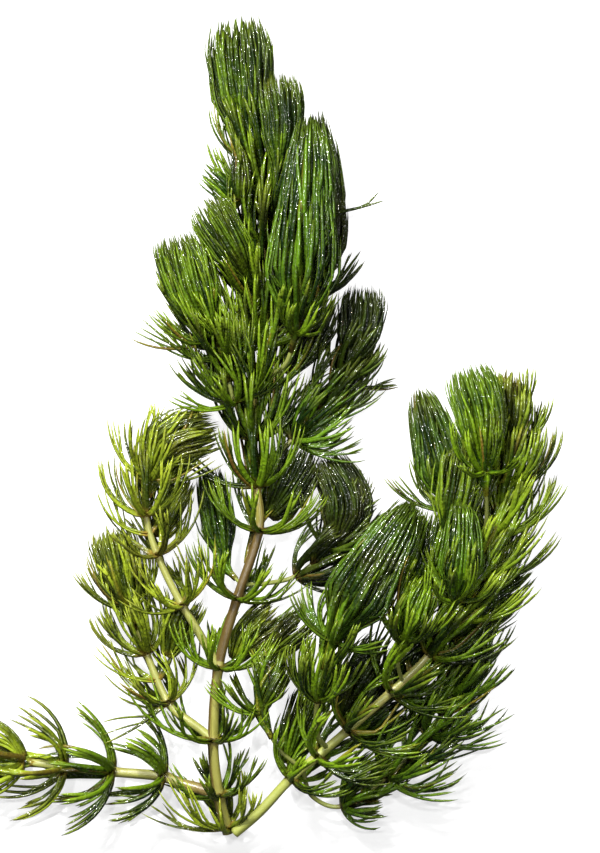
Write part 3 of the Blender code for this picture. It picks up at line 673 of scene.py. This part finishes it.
def add_strand(piece, path, across, width, tone, stain=0.0, slot=0, start=0.0, stop=1.0,
               rings=STRAND_RINGS):
    """Flattened round blade along a path, pointed at its end."""
    n, m = rings, STRAND_SIDES
    centre = even_path(path, n + 1)
    way = np.gradient(centre, axis=0)
    way /= np.linalg.norm(way, axis=1)[:, None] + 1e-9
    flat = across[None] - (way @ across)[:, None] * way
    flat /= np.linalg.norm(flat, axis=1)[:, None] + 1e-9
    face = np.cross(way, flat)
    t = np.linspace(0.0, 1.0, n + 1)
    half = width / 2 * (1 - 0.3 * t) * (1 - t**6) ** 0.6
    angles = np.arange(m) * math.tau / m
    points = (centre[:n, None] + flat[:n, None] * (half[:n, None] * np.cos(angles))[..., None]
              + face[:n, None] * (half[:n, None] * FLAT * np.sin(angles))[..., None])
    points = np.vstack([points.reshape(-1, 3), centre[-1:]])
    lower = (np.arange(n - 1)[:, None] * m + np.arange(m)[None]).ravel()
    after = (np.arange(n - 1)[:, None] * m + (np.arange(m)[None] + 1) % m).ravel()
    sides = np.stack([lower, after, after + m, lower + m], axis=1)
    last = (n - 1) * m + np.arange(m)
    point = np.stack([last, (n - 1) * m + (np.arange(m) + 1) % m, np.full(m, n * m)], axis=1)
    foot = np.arange(m)[::-1][None]
    along = start + (stop - start) * np.append(np.repeat(t[:n], m), 1.0)
    edge = np.append(np.tile(np.cos(angles), n), 0.0)
    values = np.stack([np.full(len(points), tone), along, edge, np.full(len(points), stain)],
                      axis=1)
    piece.add(points, values, [sides, point, foot], slot)


def wavy(path, amount):
    """The path with a slow sideways wave of its own, none at its start."""
    t = np.linspace(0, 1, len(path))[:, None]
    a, b = (np.array([noise.gauss(0, 1) for _ in range(3)]) for _ in range(2))
    turn = noise.uniform(0, math.tau)
    return path + amount * t * (a * (np.sin(4.5 * t + turn) - math.sin(turn)) + b * t)


def add_prong(piece, path, across, side, width, tone, slot, start):
    """Short pointed side tooth from the outer part of an arm."""
    at = int(len(path) * start)
    way = unit(path[min(at + 3, len(path) - 1)] - path[at - 1])
    aside = unit(across - way * np.dot(across, way)) * side
    length = noise.uniform(2.2, 4.6)
    t = np.linspace(0, 1, 6)[:, None]
    tooth = path[at] + length * (way * t + aside * (0.38 * t - 0.12 * t * t))
    add_strand(piece, tooth, across, width, tone, slot=slot, start=start, rings=PRONG_RINGS)


def crosses_gap(path):
    """Whether an arm would close one of the gaps."""
    apart = np.linalg.norm(path[:, None, :2] - GAPS[None, :, :2], axis=2)
    return bool(np.any(apart < GAPS[None, :, 2]))


def add_leaf(piece, leaf, root, length, slot, arms, width, spread, extra=False):
    """Leaf whose arms are one ridged blade at first, then part like a comb and curve upwards."""
    tone = noise.random()
    across = leaf["across"]
    left, right = (even_path(np.vstack([root, leaf["stalk"], arm[1:]]), ARM_SAMPLES)
                   for arm in leaf["arms"])
    way = np.gradient(left + right, axis=0)
    inward = np.cross(across, way / np.linalg.norm(way, axis=1)[:, None])
    t = np.linspace(0, 1, ARM_SAMPLES)[:, None]
    comb = noise.uniform(0.14, 0.34) * spread
    hook = noise.uniform(0.0, 0.16)
    for k in range(arms):
        rank = k / (arms - 1)
        parting = noise.uniform(0.25, 0.52)
        parted = np.clip((t - parting) / (1 - parting), 0, 1)
        beside = 0.5 + (k % 2 - 0.5) * noise.uniform(0.25, 0.95) * (0.4 + 0.6 * spread)
        path = left + (right - left) * beside
        path = path + inward * length * (comb * rank * parted * (2 - parted) + hook * t**3)
        ridge = across * (k % 3 - 1) * 0.3 + inward * (rank - 0.3) * 0.6
        path = path + ridge * width * LEAF_ARM * (1 - t)
        path = wavy(path, 0.007 * length)
        reach = ARM_SAMPLES - round(5 * rank * noise.random()) - noise.randint(0, 1)
        if extra and crosses_gap(path):
            continue
        stain = noise.uniform(0.2, 0.6) if noise.random() < STAINED_ARMS else 0.0
        arm_tone = tone + noise.uniform(-0.18, 0.18)
        arm_width = LEAF_ARM * width * noise.uniform(0.8, 1.1)
        add_strand(piece, path[:reach], across, arm_width, arm_tone, stain, slot)
        if noise.random() < PRONGED_ARMS:
            add_prong(piece, path[:reach], across, noise.choice((-1, 1)), arm_width * 0.7,
                      arm_tone, slot, noise.uniform(0.55, 0.8))


def extra_leaf(plan, sample, whorl, angle, inner):
    """Leaf between those of the solid whorl; inner draws it closer to the stem."""
    centre, tangent = plan["axis"][sample], plan["ways"][sample]
    out = spoke(tangent, angle)
    bias = 1 + whorl["lean"][0] * out[0] + whorl["lean"][1] * out[1]
    length = whorl["length"] * noise.uniform(0.85, 1.12) * bias
    habit = (whorl["habit"][0] * inner, whorl["habit"][1] * inner - noise.uniform(0, 22))
    foot = centre + plan["thick"][min(sample, plan["end"])] * 0.8 * out
    course, across = leaf_course(foot, tangent, angle, length, habit)
    stalk, *arms = leaf_parts(course, across, length * noise.uniform(0.6, 1.0))
    return {"stalk": stalk, "arms": arms, "across": across}, foot, length


def arm_spread(plan, whorl):
    """How far the arms of a leaf part: less where the leaves close round the stem."""
    return 1.0 if whorl["habit"][1] > 30 and plan["name"] not in CLOSE_ARMS else 0.5


def add_whorl(piece, plan, whorl, extra, slot, width, bare):
    """The forked leaves of the solid whorl, in full, with finer ones among them."""
    sample = whorl["sample"]
    centre = plan["axis"][sample]
    for leaf in whorl["leaves"]:
        if leaf is not None:
            root = centre + plan["thick"][sample] * 0.8 * unit(leaf["stalk"][0] - centre)
            arms = noise.choice(ARMS.get(plan["name"], (4, 4, 5)))
            add_leaf(piece, leaf, root, whorl["length"], slot, arms, width, arm_spread(plan, whorl))
    add_ring(piece, plan, sample, whorl, extra, slot, (0.4, 1.05), width, bare)


def add_ring(piece, plan, sample, whorl, count, slot, inner, width, bare=False):
    """Finer leaves all round the stem, or not on its upper side where it lies bare."""
    turn = noise.uniform(0, math.tau)
    for k in range(count):
        angle = turn + (k + noise.uniform(-0.3, 0.3)) * math.tau / count
        leaf, root, length = extra_leaf(plan, sample, whorl, angle, noise.uniform(*inner))
        if bare and spoke(plan["ways"][sample], angle)[2] > 0.35:
            continue
        arms = noise.choice(ARMS.get(plan["name"], (3, 4, 4)))
        add_leaf(piece, leaf, root, length, slot, arms, 0.92 * width, arm_spread(plan, whorl),
                 True)


def at_share(rows, share, first):
    """A row between the samples of an axis, at a share of the way from its first sample on."""
    where = np.clip(first + share * (len(rows) - 1 - first), 0, len(rows) - 1)
    low = np.floor(where).astype(int)
    high = np.minimum(low + 1, len(rows) - 1)
    part = (where - low)[:, None]
    return rows[low] * (1 - part) + rows[high] * part


def add_tip(piece, plan, count, slot, width=1.0):
    """Growing tip: long young leaves, packed in locks, that follow its outline."""
    first = plan["end"]
    tip_length = (len(plan["axis"]) - 1 - first) * STEP
    wide = plan["tip_radius"] * (1 + RIDGE)
    lock_turn = noise.uniform(0, math.tau)
    leaf_tones = [noise.random() for _ in range(LEAF_TONES)]
    t = np.linspace(0, 1, 24)
    for k in range(count):
        angle = k * GOLDEN_ANGLE + noise.uniform(-0.15, 0.15)
        depth = 0.35 + 0.65 * noise.random() ** 0.45
        stop = 1.05 - 0.11 * depth**3 - 0.6 * noise.random() ** 2.6 - noise.uniform(0.0, 0.04)
        length = STRAND_LENGTH * noise.uniform(0.8, 1.15)
        begin = max(stop - length / tip_length, -9.0 / tip_length)
        stop = min(stop, 1.0)
        share = begin + (stop - begin) * t
        outline = half_width(plan["form"], share)
        leave = np.clip(t / 0.36, 0, 1)
        lock = math.cos(LOCKS * angle + lock_turn)
        radial = wide * depth * outline * (leave * leave * (3 - 2 * leave)) * (0.95 + 0.07 * lock)
        radial = radial + (1.0 - 0.7 * stop) * noise.uniform(-0.3, 1.4) * t**3 + 0.25
        gather = 0.6 * math.sin(LOCKS * angle + lock_turn) / LOCKS
        turn = angle - gather * t + noise.gauss(0, 0.12) * t
        centre = at_share(plan["axis"], share, first)
        way = at_share(plan["ways"], share, first)
        side = np.cross(way, (0.0, 0.0, 1.0))
        side /= np.linalg.norm(side, axis=1)[:, None]
        up = np.cross(side, way)
        out = np.cos(turn)[:, None] * side + np.sin(turn)[:, None] * up
        path = centre + radial[:, None] * out
        across = unit(np.cross(out[12], way[12]))
        own_leaf = int(angle / math.tau * LEAVES_IN_TURN + 2.5 * stop) % LEAVES_IN_TURN
        own_leaf += LEAVES_IN_TURN * int(2.9 * max(stop, 0.0))
        tone = 0.65 * leaf_tones[own_leaf % LEAF_TONES] + 0.35 * noise.random()
        # painted shade: a strand's tone is darker the deeper inside the tip it lies, and darker in
        # the furrows between the locks than on their ridges
        tone = tone * (0.1 + 0.85 * depth**3) + 0.12 * lock - 0.08
        own_width = TIP_ARM * width * noise.uniform(0.8, 1.15)
        add_strand(piece, wavy(path, 0.4), across, own_width, tone,
                   stain=0.3 * (noise.random() < STAINED_YOUNG), slot=slot, stop=0.84)


def add_stem(piece, plan, slot, scale, fork=None):
    """Round stem, a little swollen at its nodes; straight from the node that it leaves."""
    samples = np.arange(0, min(plan["end"] + 4, len(plan["axis"])))
    axis, ways = plan["axis"][samples], plan["ways"][samples]
    if fork is not None:
        first = plan["whorls"][0]["sample"]
        t = np.linspace(0, 1, first + 1)[:, None]
        straight = fork * (1 - t) + axis[first] * t
        axis[: first + 1] = straight + (axis[: first + 1] - straight) * t**2
        ways = tangents(axis)
    thick = np.interp(samples, np.arange(len(plan["thick"])), plan["thick"])
    node = np.zeros(len(samples))
    for whorl in plan["whorls"]:
        node = np.maximum(node, np.exp(-((samples - whorl["sample"]) / 2.2) ** 2))
    angles = np.arange(STEM_RING_SIDES) * math.tau / STEM_RING_SIDES
    wobble = 1 + 0.03 * np.sin(angles[None] * 5 + samples[:, None] * 0.11)
    radius = thick[:, None] * scale * (1 + 0.14 * node[:, None]) * wobble
    side = np.cross(ways, (0.0, 0.0, 1.0))
    side /= np.linalg.norm(side, axis=1)[:, None]
    up = np.cross(side, ways)
    out = np.cos(angles)[None, :, None] * side[:, None] + np.sin(angles)[None, :, None] * up[:, None]
    points = (axis[:, None] + radius[..., None] * out).reshape(-1, 3)
    m, n = STEM_RING_SIDES, len(samples)
    lower = (np.arange(n - 1)[:, None] * m + np.arange(m)[None]).ravel()
    after = (np.arange(n - 1)[:, None] * m + (np.arange(m)[None] + 1) % m).ravel()
    sides = np.stack([lower, after, after + m, lower + m], axis=1)
    ends = [np.arange(m)[::-1][None], ((n - 1) * m + np.arange(m))[None]]
    brown = np.clip(browning(plan["name"], axis[:, 1][:, None], out[..., 0]), 0, 1)
    values = np.stack([np.repeat(node, m), np.repeat(np.linspace(0, 1, n), m),
                       np.tile(np.cos(angles), n), np.broadcast_to(brown, (n, m)).ravel()],
                      axis=1)
    piece.add(points, values, [sides] + ends, slot)


# Materials


def set_inputs(node, values):
    for name, value in values.items():
        node.inputs[name].default_value = value


def noise_node(tree, scale, detail=3.0, vector=None):
    texture = tree.nodes.new("ShaderNodeTexNoise")
    set_inputs(texture, {"Scale": scale, "Detail": detail})
    if vector is None:
        vector = tree.nodes.new("ShaderNodeTexCoord").outputs["Object"]
    tree.links.new(vector, texture.inputs["Vector"])
    return texture.outputs["Fac"]


def mix_node(tree, factor, a, b):
    node = tree.nodes.new("ShaderNodeMix")
    node.data_type = "RGBA"
    for socket, value in ((node.inputs[0], factor), (node.inputs[6], a), (node.inputs[7], b)):
        if isinstance(value, (tuple, float)):
            socket.default_value = value if isinstance(value, float) else (*value, 1.0)
        else:
            tree.links.new(value, socket)
    return node.outputs[2]


def ramp_node(tree, value, low, high, least=0.0, most=1.0):
    node = tree.nodes.new("ShaderNodeMapRange")
    node.interpolation_type = "SMOOTHSTEP"
    set_inputs(node, {"From Min": low, "From Max": high, "To Min": least, "To Max": most})
    tree.links.new(value, node.inputs["Value"])
    return node.outputs["Result"]


def attribute_node(tree, name):
    node = tree.nodes.new("ShaderNodeAttribute")
    node.attribute_name = name
    return node.outputs["Fac"]


def math_node(tree, kind, *values):
    node = tree.nodes.new("ShaderNodeMath")
    node.operation = kind
    for socket, value in zip(node.inputs, values):
        if isinstance(value, float):
            socket.default_value = value
        else:
            tree.links.new(value, socket)
    return node.outputs[0]


def bump_node(tree, height, strength, distance):
    node = tree.nodes.new("ShaderNodeBump")
    set_inputs(node, {"Strength": strength, "Distance": distance})
    tree.links.new(height, node.inputs["Height"])
    return node.outputs["Normal"]


def new_material(name):
    material = bpy.data.materials.new(name)
    material.use_nodes = True
    tree = material.node_tree
    return material, tree, tree.nodes["Principled BSDF"]


def leaf_material(name, palette):
    """Wet leaf: colour by leaf, root and tip, a film of water's gloss, a beaded fine bump."""
    material, tree, shader = new_material(name)
    shaded, lit, tip, root = palette
    tone, along, edge, stain = (attribute_node(tree, key)
                                for key in ("tone", "along", "edge", "stain"))
    own = tree.nodes.new("ShaderNodeCombineXYZ")
    tree.links.new(math_node(tree, "MULTIPLY", tone, 37.0), own.inputs[0])
    tree.links.new(math_node(tree, "MULTIPLY", along, 6.0), own.inputs[1])
    own_patches = math_node(tree, "MULTIPLY_ADD", noise_node(tree, 1.0, 3.0, own.outputs[0]), 1.0,
                            -0.5)
    value = math_node(tree, "ADD", math_node(tree, "ADD", tone, own_patches),
                      math_node(tree, "MULTIPLY_ADD", noise_node(tree, 240.0), 0.8, -0.4))
    # painted light and shade: each leaf runs from its palette's shaded to its lit colour with its
    # tone, which varies at random and, in the growing tips, also holds their painted shade
    colour = mix_node(tree, ramp_node(tree, value, 0.0, 1.0), shaded, lit)
    drift = ramp_node(tree, noise_node(tree, 55.0, 2.0), 0.52, 0.74, 0.0, 0.24)
    colour = mix_node(tree, drift, colour, tuple(0.6 * c for c in root))
    colour = mix_node(tree, ramp_node(tree, along, 0.6, 1.0, 0.0, 0.4), colour, tip)
    colour = mix_node(tree, ramp_node(tree, along, 0.16, 0.0), colour, root)
    colour = mix_node(tree, stain, colour, RUST)
    rim = math_node(tree, "ABSOLUTE", edge)
    colour = mix_node(tree, ramp_node(tree, rim, 0.7, 1.0, 0.0, 0.25), colour, tip)
    tree.links.new(colour, shader.inputs["Base Color"])
    tree.links.new(ramp_node(tree, noise_node(tree, 700.0), 0.3, 0.7, 0.35, 0.6),
                   shader.inputs["Roughness"])
    film = noise_node(tree, 1250.0, 0.5)
    tree.links.new(ramp_node(tree, film, 0.56, 0.68, 0.07, 1.0), shader.inputs["Coat Weight"])
    set_inputs(shader, {"Specular IOR Level": 0.12, "Coat Roughness": 0.14, "Coat IOR": 2.2})
    beads = bump_node(tree, film, 1.0, 0.00028)
    tree.links.new(beads, shader.inputs["Normal"])
    tree.links.new(beads, shader.inputs["Coat Normal"])
    return material


def stem_material(name, pale, brown, ring):
    """Damp stem: pale and brown sides, streaks along it, a ring at each node."""
    material, tree, shader = new_material(name)
    tone, along, edge, stain = (attribute_node(tree, key)
                                for key in ("tone", "along", "edge", "stain"))
    lengthwise = tree.nodes.new("ShaderNodeCombineXYZ")
    tree.links.new(math_node(tree, "MULTIPLY", edge, 7.0), lengthwise.inputs[0])
    tree.links.new(math_node(tree, "MULTIPLY", along, 12.0), lengthwise.inputs[1])
    streaks = math_node(tree, "MULTIPLY_ADD", noise_node(tree, 1.0, 4.0, lengthwise.outputs[0]),
                        1.5, -0.75)
    brownness = math_node(tree, "ADD", stain, streaks)
    colour = mix_node(tree, ramp_node(tree, brownness, 0.2, 0.8), pale, brown)
    colour = mix_node(tree, math_node(tree, "MULTIPLY", tone, 0.6), colour, ring)
    tree.links.new(colour, shader.inputs["Base Color"])
    tree.links.new(ramp_node(tree, noise_node(tree, 600.0), 0.3, 0.7, 0.3, 0.5),
                   shader.inputs["Roughness"])
    set_inputs(shader, {"Coat Weight": 0.25, "Coat Roughness": 0.15, "Coat IOR": 1.34})
    grain = bump_node(tree, noise_node(tree, 1400.0), 0.35, 0.0002)
    tree.links.new(grain, shader.inputs["Normal"])
    return material


def floor_material():
    """White floor that glows of its own, a painted glow that keeps shadows on it faint; it glows a
    little less before the cut feet, a painted shade there.
    """
    material, tree, shader = new_material("painted_glow_floor")
    tree.links.new(mix_node(tree, noise_node(tree, 3.0), (0.33, 0.33, 0.33), (0.36, 0.36, 0.358)),
                   shader.inputs["Base Color"])
    # painted glow and painted shade: emission 0.86 over most of the floor, falling to 0.56 towards
    # the bottom
    place = tree.nodes.new("ShaderNodeSeparateXYZ")
    tree.links.new(tree.nodes.new("ShaderNodeTexCoord").outputs["Object"], place.inputs[0])
    tree.links.new(ramp_node(tree, place.outputs["Y"], -0.11, -0.05, 0.56, 0.86),
                   shader.inputs["Emission Strength"])
    set_inputs(shader, {"Emission Color": (1.0, 1.0, 1.0, 1.0), "Roughness": 0.7,
                        "Specular IOR Level": 0.2})
    return material


# Assembly


def main_browning(y, right):
    """Share of brown on the main stem: its left side low down, all round in the middle."""
    low = -0.15 - 1.4 * right
    middle = np.interp(y, [-64, -58, -30, -22, -14, 10, 60], [0.0, 0.85, 0.9, 0.5, 0.45, 0.4, 0.7])
    return np.where(y < -58, low * np.interp(y, [-102, -60], [0.7, 1.0]), middle)


def browning(name, y, right):
    """Share of brown on a stem, by how far up the frame and how far to the right it is."""
    if name == "main":
        return main_browning(y, right)
    if name == "right":
        return np.interp(y, [-100, -84, -70, -50], [0.0, 0.1, 0.35, 0.4])
    if name == "trailing":
        return np.interp(y, [-91, -88, -85], [0.75, 0.45, 0.15])
    return 0.1 if name in AXES else 0.15


def between_two(pair, share):
    """Whole number at a share of the way between two."""
    return max(0, round(pair[0] + (pair[1] - pair[0]) * share))


def whorl_shares(plan):
    """Each whorl with its share of the way from the shoot's lowest to its highest."""
    last = max(len(plan["whorls"]) - 1, 1)
    return [(whorl, number / last) for number, whorl in enumerate(plan["whorls"])]


def add_foliage(piece, plan, number, look, slot):
    """A whorl, and the finer leaves halfway to the next one or to the growing tip."""
    whorl, share = whorl_shares(plan)[number]
    bare = number < BARE_WHORLS.get(plan["name"], 0)
    add_whorl(piece, plan, whorl, between_two(look[4], share), slot, look[6], bare)
    later = plan["whorls"][number + 1:]
    next_sample = later[0]["sample"] if later else plan["end"] + 8
    halfway = (whorl["sample"] + next_sample) // 2
    add_ring(piece, plan, halfway, whorl, between_two(look[5], share), slot, (0.35, 0.85),
             look[6], bare)


def fork_point(plans, name):
    """The node of its parent that a stem leaves, or None for one with its own cut foot."""
    if not SHOOTS[name]["parent"]:
        return None
    parent, number = SHOOTS[name]["parent"]
    return plans[parent]["axis"][plans[parent]["marks"][number]]


def dress():
    leaves = {key: leaf_material("leaf_" + key, palette) for key, palette in PALETTES.items()}
    stems = {
        "main": stem_material("stem_two_tone", (0.215, 0.205, 0.040), (0.072, 0.045, 0.010),
                              (0.16, 0.10, 0.024)),
        "right": stem_material("stem_pale", (0.225, 0.245, 0.050), (0.32, 0.22, 0.10),
                               (0.20, 0.16, 0.045)),
        "side": stem_material("stem_side", (0.16, 0.18, 0.04), (0.13, 0.085, 0.03),
                              (0.17, 0.11, 0.03)),
    }
    stems["upper_left"] = stems["lower_left"] = stems["trailing"] = stem_material(
        "stem_light", (0.22, 0.225, 0.052), (0.13, 0.088, 0.024), (0.18, 0.14, 0.035))
    plans = plan_bunch()
    for name, plan in plans.items():
        look = LOOKS[name]
        stem = stems.get(name, stems["side"])
        lower, upper, young = (leaves[key] for key in look[:3])
        if name in AXES:
            part = Piece(name + "_stem", [stem])
            add_stem(part, plan, 0, STEM_SCALE.get(name, 1.0), fork_point(plans, name))
            settle(part, "stem_" + name)
            for number in range(len(plan["whorls"])):
                leaf = lower if number * 2 < len(plan["whorls"]) else upper
                part = Piece(f"{name}_leaves_{number + 1:02d}", [leaf])
                add_foliage(part, plan, number, look, 0)
                settle(part, f"whorl_{name}_{number + 1:02d}")
            part = Piece(name + "_brush", [young])
            add_tip(part, plan, look[3], 0, look[6])
            settle(part, "tip_" + name)
        else:
            part = Piece(name + "_sprig", [stem, lower, upper, young])
            add_stem(part, plan, 0, SPRIG_STEM_SCALE)
            for number in range(len(plan["whorls"])):
                add_foliage(part, plan, number, look, 1 if number == 0 else 2)
            add_tip(part, plan, look[3], 3, look[6])
            if name == "back_flame":
                add_stray_leaf(part, 1)
            settle(part, "shoot_" + name)
    for name, (palette, count, radius, form, points) in TUFTS.items():
        axis, _ = smooth_path(points)
        part = Piece("tuft_" + name, [leaves[palette]])
        add_tip(part, {"axis": axis, "ways": tangents(axis), "end": 0, "tip_radius": radius,
                       "form": form}, count, 0)
        settle(part, None)
    foot = Piece("foot_leaves", [leaves["olive"]])
    low = {"length": 19.0, "habit": (92.0, 48.0), "lean": (-0.2, 0.0)}
    add_ring(foot, plans["main"], 3, low, 9, 0, (0.7, 1.05), 1.3)
    settle(foot, None)


def add_stray_leaf(piece, slot):
    """Long single leaf that leans out of the darker flame to the right, forked at its end."""
    course, _ = smooth_path([(15.0, 50.0, 11.0), (17.6, 53.4, 13.4), (22.5, 54.4, 14.6),
                             (27.6, 55.6, 14.4)])
    for end in ((31.4, 59.6, 14.2), (33.0, 57.2, 14.8)):
        path = np.vstack([course, smooth_path([tuple(course[-1]), end])[0][1:]])
        add_strand(piece, path, np.array([0.0, 1.0, 0.0]), 0.95, 0.75, slot=slot)


def settle(part, node):
    obj = part.build()
    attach(obj, "root")
    if node:
        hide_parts(node)


# Place, width and power of each lamp, all turned to the bunch
LIGHTS = (
    ("key", (-0.35, 0.75, 0.80), 0.40, 25.0),
    ("spot", (-0.30, 0.70, 0.90), 0.06, 17.0),
    ("fill", (0.35, -0.15, 1.10), 0.6, 2.0),
    ("glint_left", (-0.30, 0.15, 1.1), 0.05, 5.0),
    ("glint_right", (0.22, 0.20, 1.15), 0.05, 5.0),
)
BUNCH = Vector((0.0, 0.0, 0.01))


def area_light(name, place, size, power):
    data = bpy.data.lights.new(name, "AREA")
    data.shape = "DISK"
    data.size = size
    data.energy = power
    obj = bpy.data.objects.new(name, data)
    obj.location = place
    obj.rotation_euler = (BUNCH - Vector(place)).to_track_quat("-Z", "Y").to_euler()
    obj.visible_camera = False
    bpy.context.scene.collection.objects.link(obj)


def studio():
    mesh = bpy.data.meshes.new("floor")
    mesh.from_pydata([(-3, -3, 0), (3, -3, 0), (3, 3, 0), (-3, 3, 0)], [], [(0, 1, 2, 3)])
    mesh.materials.append(floor_material())
    floor = bpy.data.objects.new("floor", mesh)
    bpy.context.scene.collection.objects.link(floor)
    floor.visible_diffuse = False
    floor.visible_glossy = False
    world = bpy.data.worlds.new("studio")
    bpy.context.scene.world = world
    world.use_nodes = True
    set_inputs(world.node_tree.nodes["Background"],
               {"Color": (1.0, 1.0, 1.0, 1.0), "Strength": 0.10})
    for name, place, size, power in LIGHTS:
        area_light(name, place, size, power)
    bpy.context.scene.view_settings.view_transform = "Standard"


def camera():
    """Long lens straight above the bunch; the picture is 150 by 213.25 mm at stem height."""
    data = bpy.data.cameras.new("camera")
    data.lens = 200.0
    data.sensor_width = 36.0
    obj = bpy.data.objects.new("camera", data)
    across = 0.21325
    stem_height = 0.015
    obj.location = (0.011386, 0.00122, stem_height + across * data.lens / data.sensor_width)
    bpy.context.scene.collection.objects.link(obj)
    bpy.context.scene.camera = obj


dress()
studio()
camera()
